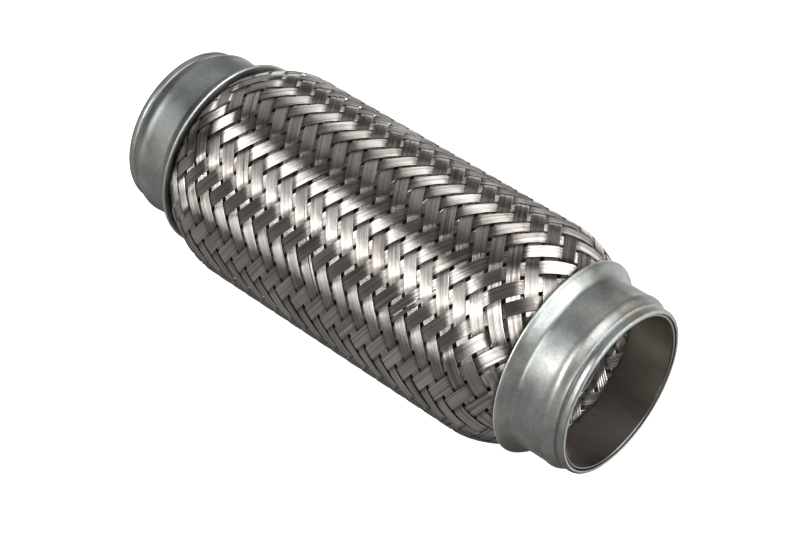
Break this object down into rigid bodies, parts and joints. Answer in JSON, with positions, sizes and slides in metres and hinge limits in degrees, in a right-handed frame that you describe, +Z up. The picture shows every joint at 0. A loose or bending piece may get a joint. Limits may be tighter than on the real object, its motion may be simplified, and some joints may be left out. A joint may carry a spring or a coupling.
{
  "type": "braided metal bellows expansion joint",
  "caption": "Short flexible exhaust coupling: a metal bellows under a woven wire braid, clamped between two flared steel end caps with plain pipe mouths.",
  "frame": {"origin": "centre of the bounding box, on the pipe's axis at the middle of its length", "axes": "+X along the pipe's axis towards the outlet mouth, +Z up, the pipe lying on its braid"},
  "size_m": [0.2, 0.0794, 0.0794],
  "materials": {
    "cap_steel": "satin aluminised steel, cool grey with faint smudges",
    "sleeve_steel": "dull dark stainless",
    "bellows_steel": "bright rolled stainless",
    "braid_wire": "bright drawn stainless wire"
  },
  "bodies": {
    "inlet_end": {"inlet_end_cap": "cap_steel", "inlet_inner_sleeve": "sleeve_steel", "inlet_bellows_cuff": "bellows_steel", "inlet_outer_braid_end": "braid_wire", "inlet_inner_braid_end": "braid_wire"},
    "flex_01": {"outer_braid_segment_01": "braid_wire", "bellows_segment_01": "bellows_steel", "inner_braid_segment_01": "braid_wire"},
    "flex_02": {"outer_braid_segment_02": "braid_wire", "bellows_segment_02": "bellows_steel", "inner_braid_segment_02": "braid_wire"},
    "flex_03": {"outer_braid_segment_03": "braid_wire", "bellows_segment_03": "bellows_steel", "inner_braid_segment_03": "braid_wire"},
    "flex_04": {"outer_braid_segment_04": "braid_wire", "bellows_segment_04": "bellows_steel", "inner_braid_segment_04": "braid_wire"},
    "flex_05": {"outer_braid_segment_05": "braid_wire", "bellows_segment_05": "bellows_steel", "inner_braid_segment_05": "braid_wire"},
    "flex_06": {"outer_braid_segment_06": "braid_wire", "bellows_segment_06": "bellows_steel", "inner_braid_segment_06": "braid_wire"},
    "flex_07": {"outer_braid_segment_07": "braid_wire", "bellows_segment_07": "bellows_steel", "inner_braid_segment_07": "braid_wire"},
    "flex_08": {"outer_braid_segment_08": "braid_wire", "bellows_segment_08": "bellows_steel", "inner_braid_segment_08": "braid_wire"},
    "flex_09": {"outer_braid_segment_09": "braid_wire", "bellows_segment_09": "bellows_steel", "inner_braid_segment_09": "braid_wire"},
    "flex_10": {"outer_braid_segment_10": "braid_wire", "bellows_segment_10": "bellows_steel", "inner_braid_segment_10": "braid_wire"},
    "outlet_end": {"outlet_end_cap": "cap_steel", "outlet_inner_sleeve": "sleeve_steel", "outlet_bellows_cuff": "bellows_steel", "outlet_outer_braid_end": "braid_wire", "outlet_inner_braid_end": "braid_wire"}
  },
  "joints": [
    {"name": "inlet_bend_y", "type": "hinge", "parent": "inlet_end", "child": "flex_01", "pos_m": [-0.072, 0, 0], "axis": [0, 1, 0], "range_deg": [-3, 3], "stiffness_Nm_per_rad": 4},
    {"name": "inlet_bend_z", "type": "hinge", "parent": "flex_01", "child": "flex_02", "pos_m": [-0.0576, 0, 0], "axis": [0, 0, 1], "range_deg": [-3, 3], "stiffness_Nm_per_rad": 4},
    {"name": "axial", "type": "slide", "parent": "flex_02", "child": "flex_03", "axis": [1, 0, 0], "range_m": [-0.0026, 0.0014], "stiffness_N_per_m": 1500},
    {"name": "inlet_bend_y_second", "type": "hinge", "parent": "flex_03", "child": "flex_04", "pos_m": [-0.0288, 0, 0], "axis": [0, 1, 0], "range_deg": [-3, 3], "stiffness_Nm_per_rad": 4},
    {"name": "inlet_bend_z_second", "type": "hinge", "parent": "flex_04", "child": "flex_05", "pos_m": [-0.0144, 0, 0], "axis": [0, 0, 1], "range_deg": [-3, 3], "stiffness_Nm_per_rad": 4},
    {"name": "axial_second", "type": "slide", "parent": "flex_05", "child": "flex_06", "axis": [1, 0, 0], "range_m": [-0.0026, 0.0014], "stiffness_N_per_m": 1500},
    {"name": "outlet_bend_z", "type": "hinge", "parent": "flex_06", "child": "flex_07", "pos_m": [0.0144, 0, 0], "axis": [0, 0, 1], "range_deg": [-3, 3], "stiffness_Nm_per_rad": 4},
    {"name": "outlet_bend_y", "type": "hinge", "parent": "flex_07", "child": "flex_08", "pos_m": [0.0288, 0, 0], "axis": [0, 1, 0], "range_deg": [-3, 3], "stiffness_Nm_per_rad": 4},
    {"name": "axial_third", "type": "slide", "parent": "flex_08", "child": "flex_09", "axis": [1, 0, 0], "range_m": [-0.0026, 0.0014], "stiffness_N_per_m": 1500},
    {"name": "outlet_bend_z_second", "type": "hinge", "parent": "flex_09", "child": "flex_10", "pos_m": [0.0576, 0, 0], "axis": [0, 0, 1], "range_deg": [-3, 3], "stiffness_Nm_per_rad": 4},
    {"name": "outlet_bend_y_second", "type": "hinge", "parent": "flex_10", "child": "outlet_end", "pos_m": [0.072, 0, 0], "axis": [0, 1, 0], "range_deg": [-3, 3], "stiffness_Nm_per_rad": 4}
  ],
  "couplings": [
    {"joint": "inlet_bend_y_second", "follows": "inlet_bend_y", "ratio": 1},
    {"joint": "inlet_bend_z_second", "follows": "inlet_bend_z", "ratio": 1},
    {"joint": "axial_second", "follows": "axial", "ratio": 1},
    {"joint": "axial_third", "follows": "axial", "ratio": 1},
    {"joint": "outlet_bend_z_second", "follows": "outlet_bend_z", "ratio": 1},
    {"joint": "outlet_bend_y_second", "follows": "outlet_bend_y", "ratio": 1}
  ]
}
